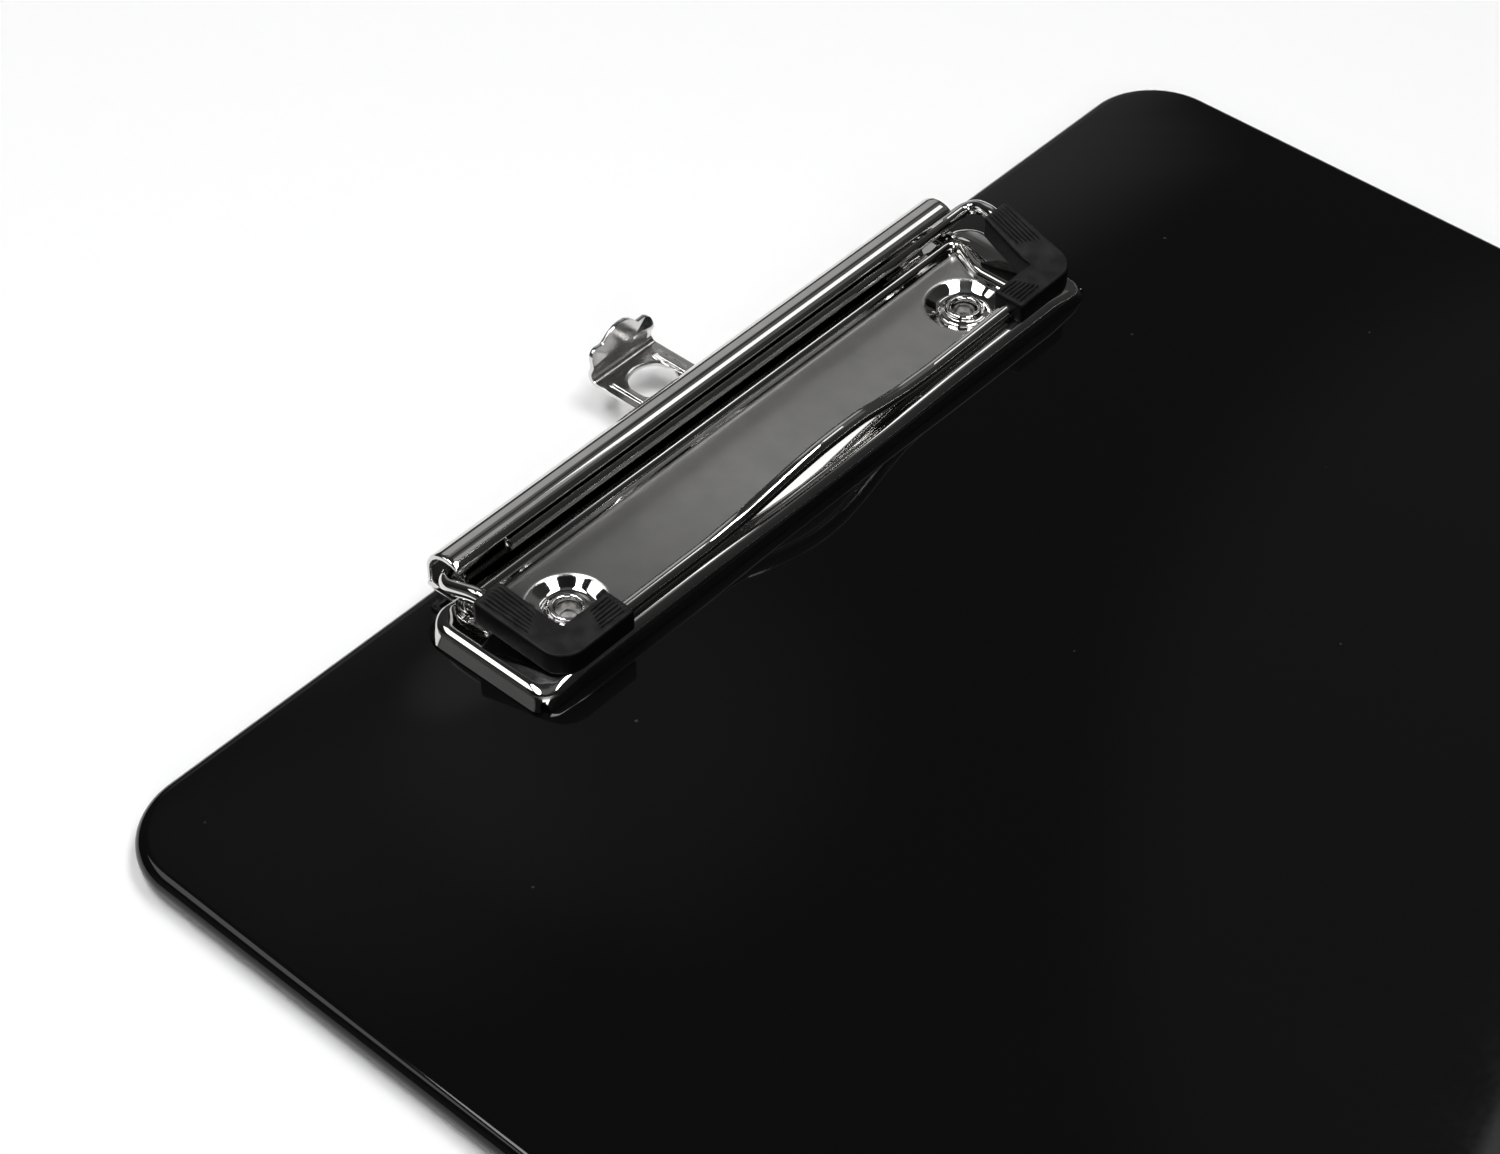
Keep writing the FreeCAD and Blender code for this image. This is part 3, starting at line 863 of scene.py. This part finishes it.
def grip_section(outer, inner, rise, inset, along, rib_length):
    """One closed cross-section, from the outer top edge over the ribs and back underneath."""
    width = math.hypot(inner[0] - outer[0], inner[1] - outer[1])
    bottom, top = GRIP_BOTTOM + rise, GRIP_TOP + rise
    inset = min(inset, 0.45 * (top - bottom))
    w0, w1 = inset, width - inset
    z0, z1 = bottom + inset, top - inset

    def at(u, z):
        t = u / width
        return (lerp(outer[0], inner[0], t), lerp(outer[1], inner[1], t), z)

    def edge(u, z, radius, start, end, count):
        return [at(*p) for p in arc_points(u, z, radius, start, end, count)]

    flat = 56
    points = edge(w0 + TOP_EDGE_R, z1 - TOP_EDGE_R, TOP_EDGE_R, 180, 90, 8)
    for k in range(1, flat):
        u = lerp(w0 + TOP_EDGE_R, w1 - TOP_EDGE_R, k / flat)
        points.append(at(u, z1 - grip_rib(u - width / 2, along, rib_length)))
    points += edge(w1 - TOP_EDGE_R, z1 - TOP_EDGE_R, TOP_EDGE_R, 90, 0, 8)
    points += edge(w1 - BOTTOM_EDGE_R, z0 + BOTTOM_EDGE_R, BOTTOM_EDGE_R, 0, -90, 4)
    for k in range(1, 8):
        points.append(at(lerp(w1 - BOTTOM_EDGE_R, w0 + BOTTOM_EDGE_R, k / 8), z0))
    points += edge(w0 + BOTTOM_EDGE_R, z0 + BOTTOM_EDGE_R, BOTTOM_EDGE_R, -90, -180, 4)
    return points


def round_corner(p, cx, cy, radius):
    """Pull a point in the outer corner's square onto the quarter disc inside it."""
    dx, dy = p[0] - (cx - radius), (cy + radius) - p[1]
    if dx <= 0 or dy <= 0:
        return p
    biggest, size = max(dx, dy), math.hypot(dx, dy)
    k = lerp(1.0, biggest / size, smooth(biggest / radius))
    return (cx - radius + dx * k, cy + radius - dy * k, p[2])


def grip_stations(length, ease=0.75, step=0.24):
    """(distance, inset) from a leg's free end: a rounded end and then an even body."""
    out = []
    for k in range(7):
        a = math.radians(90 * k / 6)
        out.append((ease * (1 - math.cos(a)) if k else 0.0, ease * (1 - math.sin(a))))
    count = round((length - ease) / step)
    out += [(lerp(ease, length, k / count), 0.0) for k in range(1, count + 1)]
    return out


def build_grip(name, side):
    """An L of soft rubber moulded round the bail's corner: arm leg, corner, front leg."""
    b = Builder()
    corner_out = (GRIP_OUT_FRONT, GRIP_FRONT)
    corner_in = (GRIP_OUT_FRONT - GRIP_LEG + 0.15, GRIP_FRONT + GRIP_LEG)
    slope = GRIP_SLOPE_RIGHT if side > 0 else GRIP_SLOPE_LEFT
    arm = GRIP_END - GRIP_FRONT
    arm_rows = []
    for s, inset in grip_stations(arm):
        t = s / arm
        outer = (lerp(GRIP_OUT_REAR, corner_out[0], t), lerp(GRIP_END, corner_out[1], t))
        inner = (lerp(GRIP_OUT_REAR - GRIP_LEG, corner_in[0], t),
                 lerp(GRIP_END, corner_in[1], t))
        rise = crease((outer[1] + inner[1]) / 2, slope)
        arm_rows.append(grip_section(outer, inner, rise, inset, s, RIB_LENGTH_ARM))
    bar = GRIP_OUT_FRONT - GRIP_BAR_END
    bar_rows = []
    for s, inset in grip_stations(bar):
        t = s / bar
        outer = (lerp(GRIP_BAR_END, corner_out[0], t), GRIP_FRONT)
        inner = (lerp(GRIP_BAR_END, corner_in[0], t), corner_in[1])
        bar_rows.append(grip_section(outer, inner, 0.0, inset, s, RIB_LENGTH_BAR))
    mitre = [tuple((a + c) / 2 for a, c in zip(p, q)) for p, q in zip(arm_rows[-1], bar_rows[-1])]
    placed = []
    for row in arm_rows[:-1] + [mitre] + bar_rows[-2::-1]:
        row = [round_corner(p, GRIP_OUT_FRONT, GRIP_FRONT, GRIP_CORNER_R) for p in row]
        placed.append([skew((BAIL_X + side * p[0], p[1], p[2])) for p in row])
    ids = b.rows(placed, closed=True)
    for end in (0, -1):
        loop = placed[end]
        b.fan(ids[end], [sum(p[k] for p in loop) / len(loop) for k in range(3)])
    return b.make(name + "_rubber", RUBBER, "bail", [name], sharp=60)


# ----------------------------------------------------------------- hanger

HANGER_X, HANGER_HALF, HANGER_T = 0.3, 6.6, 0.6
WING_HALF = 11.5
HOLE_X, HOLE_Y, HOLE_R = -0.1, 6.1, 3.9
TAB_TOP, TAB_REAR = 0.7, -13.0
PLATE_START, PLATE_END = -0.6, 11.2
BEAD_X, BEAD_HALF, BEAD_TOP, BEAD_END = 4.65, 0.85, 0.42, 10.2

# The lip: where its fold starts, the fold's radius and turn, how far its face leans outwards,
# its furthest y, and the height of its edge across its width.
FOLD_START, LIP_FOLD_R, LIP_TURN = 11.85, 1.0, math.radians(96)
LIP_LEAN = math.radians(6)
LIP_BACK = 12.85
LIP = [(-6.6, 4.7), (-6.5, 5.3), (-6.2, 5.8), (-5.7, 6.1), (-5.2, 6.2), (-3.9, 6.1), (-3.4, 6.5),
       (-2.8, 7.0), (-2.1, 7.5), (-1.2, 7.9), (0.0, 8.05), (1.2, 7.9), (2.1, 7.45), (2.8, 6.9),
       (3.4, 6.2), (3.75, 5.8), (5.3, 5.9), (5.8, 5.75), (6.2, 5.4), (6.5, 4.8), (6.6, 4.2)]


def tab_height(x, y):
    """The tab's top: a raised bead along each side with a blunt outer end, and a sunk hole rim."""
    across = smooth((BEAD_HALF - abs(abs(x) - BEAD_X)) / 0.4)
    bead = BEAD_TOP * across * smooth((BEAD_END - y) / 0.5)
    rim = 0.10 * smooth((0.45 - (math.hypot(x - HOLE_X, y - HOLE_Y) - HOLE_R)) / 0.4)
    return TAB_TOP + bead - rim


def lip_point(x, s):
    """A point of the lip, s mm from the fold's start: round the fold, then up the lip's face.

    The middle of the face bulges outwards, and its two side lobes bend inwards a little."""
    arc = LIP_FOLD_R * LIP_TURN
    turn = min(s / LIP_FOLD_R, LIP_TURN)
    y = FOLD_START + LIP_FOLD_R * math.sin(turn)
    z = TAB_TOP + LIP_FOLD_R * (1 - math.cos(turn))
    if s > arc:
        up = s - arc
        y += up * math.sin(LIP_LEAN)
        z += up * math.cos(LIP_LEAN)
        dish = min(0.7 + 0.52 * up, 3.75)
        if abs(x) < dish:
            y += 0.75 * smooth(up / 5.0) * (1 - (x / dish) ** 2)
        else:
            y -= 0.16 * (abs(x) - dish) * smooth(up / 2.0)
    return (x + HANGER_X, min(y, LIP_BACK), z)


def build_hanger():
    """The sliding tab: plate with its hole, inner end with two wings, and bent-up lip."""
    b = Builder()
    nx, ny, rings, steps = 72, 44, 18, 40
    xs = [lerp(-HANGER_HALF, HANGER_HALF, i / nx) for i in range(nx + 1)]
    ys = [lerp(PLATE_START, PLATE_END, j / ny) for j in range(ny + 1)]
    edge = [(x, PLATE_START) for x in xs[:-1]] + [(HANGER_HALF, y) for y in ys[:-1]]
    edge += [(x, PLATE_END) for x in xs[:0:-1]] + [(-HANGER_HALF, y) for y in ys[:0:-1]]
    rows = []
    for k in range(rings + 1):
        t = (k / rings) ** 1.1
        row = []
        for ex, ey in edge:
            d = Vector((ex - HOLE_X, ey - HOLE_Y)).normalized() * HOLE_R
            x, y = lerp(HOLE_X + d.x, ex, t), lerp(HOLE_Y + d.y, ey, t)
            row.append((x + HANGER_X, y, tab_height(x, y)))
        rows.append(row)
    b.rows(rows[::-1], closed=True)
    inner = [TAB_REAR, -12.2, -11.4, -10.0, -8.0, -6.1, -4.0, -2.0, PLATE_START]
    b.rows([[(x + HANGER_X, y, tab_height(x, y) if y > TAB_REAR else TAB_TOP) for x in xs]
            for y in inner])
    wing = [lerp(HANGER_HALF, WING_HALF, k / 6) for k in range(7)]
    for xs_wing in ([-x for x in wing[::-1]], wing):
        b.rows([[(x + HANGER_X, y, TAB_TOP) for x in xs_wing] for y in inner[:6]])
    lip = []
    for k in range(steps + 1):
        row = []
        for x in xs:
            reach = interpolate(LIP, x) - TAB_TOP - LIP_FOLD_R + LIP_FOLD_R * LIP_TURN
            s = lerp(PLATE_END - FOLD_START, reach, k / steps)
            row.append((x + HANGER_X, FOLD_START + s, tab_height(x, FOLD_START + s)) if s < 0
                       else lip_point(x, s))
        lip.append(row)
    b.rows(lip)
    return b.make("hanger_tab", HANGER, "tab", ["hanger"], sharp=60, weld=1e-5,
                  thickness=HANGER_T)


build_board()
build_plate()
build_eyelet("eyelet_left_shell", -EYELET_X)
build_eyelet("eyelet_right_shell", EYELET_X)
build_wire()
build_grip("corner_grip_left", -1)
build_grip("corner_grip_right", 1)
build_hanger()

# The washers under the board are out of sight: their CAD shape stays, with a material.
for node in ("eyelet_washer_left", "eyelet_washer_right"):
    finish_piece(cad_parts[node], ZINC, 35)


# ------------------------------------------------------------------ stage

CLIP_CENTRE = Vector((0, 0.14, 0.005))
FLOOR_HALF, FLOOR_Z = 3.0, -0.0005


def build_floor():
    mesh = bpy.data.meshes.new("floor")
    corners = [(x * FLOOR_HALF, y * FLOOR_HALF, FLOOR_Z)
               for x, y in ((-1, -1), (1, -1), (1, 1), (-1, 1))]
    mesh.from_pydata(corners, [], [(0, 1, 2, 3)])
    mesh.materials.append(pale_floor())
    floor = bpy.data.objects.new("floor", mesh)
    bpy.context.scene.collection.objects.link(floor)


def aim(obj, position, target):
    """Put a light or the camera somewhere, facing a target."""
    turn = (target - position).to_track_quat("-Z", "Y").to_matrix().to_4x4()
    obj.matrix_world = Matrix.Translation(position) @ turn


def toward(azimuth, elevation):
    """The direction at an azimuth from +X and an elevation, in degrees."""
    az, el = math.radians(azimuth), math.radians(elevation)
    return Vector((math.cos(el) * math.cos(az), math.cos(el) * math.sin(az), math.sin(el)))


def softbox(name, azimuth, elevation, distance, width, height, radiance, shape="RECTANGLE"):
    """An area light of a given radiance, aimed at the clip from that direction."""
    data = bpy.data.lights.new(name, "AREA")
    data.shape = shape
    data.size, data.size_y = width, height
    area = width * height * (math.pi / 4 if shape == "ELLIPSE" else 1.0)
    data.energy = radiance * math.pi * area
    light = bpy.data.objects.new(name, data)
    bpy.context.scene.collection.objects.link(light)
    aim(light, CLIP_CENTRE + toward(azimuth, elevation) * distance, CLIP_CENTRE)


def build_lights():
    softbox("overhead_right", -48, 72, 1.0, 0.58, 0.30, 10.0, "ELLIPSE")
    softbox("overhead_left", 132, 72, 1.0, 0.58, 0.30, 10.0, "ELLIPSE")
    softbox("overhead_front", -132, 38, 1.1, 0.6, 0.7, 2.2)
    softbox("left_wall", 122, 50, 1.1, 0.55, 0.30, 2.4)
    softbox("far_card", 8.5, 52.3, 6.0, 1.35, 1.34, 1.4)


# Soft pale areas of the studio, in degrees: azimuth, elevation, the half angle inside which each
# has its full brightness and the one outside which it has none; then its brightness.
GLOWS = [(50.0, 26.0, 12.0, 19.0, 0.40), (46.8, 47.7, 0.5, 5.5, 0.10),
         (55.5, 48.5, 0.5, 6.5, 0.10), (5.0, 47.0, 17.0, 20.0, 0.08),
         (49.8, 45.2, 0.9, 2.0, 0.22), (152.0, 12.0, 8.0, 26.0, 0.09),
         (8.0, 62.0, 4.5, 8.0, 0.30), (0.0, 90.0, 4.0, 16.0, 0.10)]


def closeness(tree, source, azimuth, elevation):
    """Cosine of the angle between a ray to the surroundings and one direction of the studio."""
    dot = tree.nodes.new("ShaderNodeVectorMath")
    dot.operation = "DOT_PRODUCT"
    dot.inputs[1].default_value = toward(azimuth, elevation)
    tree.links.new(source, dot.inputs[0])
    return dot.outputs["Value"]


def build_world():
    """Dim studio surroundings: one broad pale area low behind the object, and soft glows."""
    world = bpy.data.worlds.new("studio")
    bpy.context.scene.world = world
    world.use_nodes = True
    tree = world.node_tree
    source = tree.nodes.new("ShaderNodeTexCoord").outputs["Generated"]
    total = ranged(tree, closeness(tree, source, 20, 10), -0.2, 0.9, 0.008, 0.05)
    for azimuth, elevation, full, none, level in GLOWS:
        near = closeness(tree, source, azimuth, elevation)
        glow = tree.nodes.new("ShaderNodeMapRange")
        glow.interpolation_type = "SMOOTHSTEP"
        glow.inputs["From Min"].default_value = math.cos(math.radians(none))
        glow.inputs["From Max"].default_value = math.cos(math.radians(full))
        glow.inputs["To Max"].default_value = level
        tree.links.new(near, glow.inputs["Value"])
        total = combine(tree, total, glow.outputs["Result"])
    tree.links.new(total, tree.nodes["Background"].inputs["Color"])


# The camera's place in the clip frame, and the direction that it faces.
CAMERA_AT = (-266.8, -252.2, 324.5)
CAMERA_FACING = Vector((0.531, 0.475, -0.7015))


def build_camera():
    data = bpy.data.cameras.new("camera")
    data.sensor_width = 36.0
    data.lens = 78.3
    data.clip_start, data.clip_end = 0.01, 20.0
    camera = bpy.data.objects.new("camera", data)
    bpy.context.scene.collection.objects.link(camera)
    position = to_row(CAMERA_AT)
    aim(camera, position, position + CAMERA_FACING)
    bpy.context.scene.camera = camera


build_floor()
build_lights()
build_world()
build_camera()
bpy.context.scene.view_settings.view_transform = "Standard"
bpy.context.scene.view_settings.look = "None"
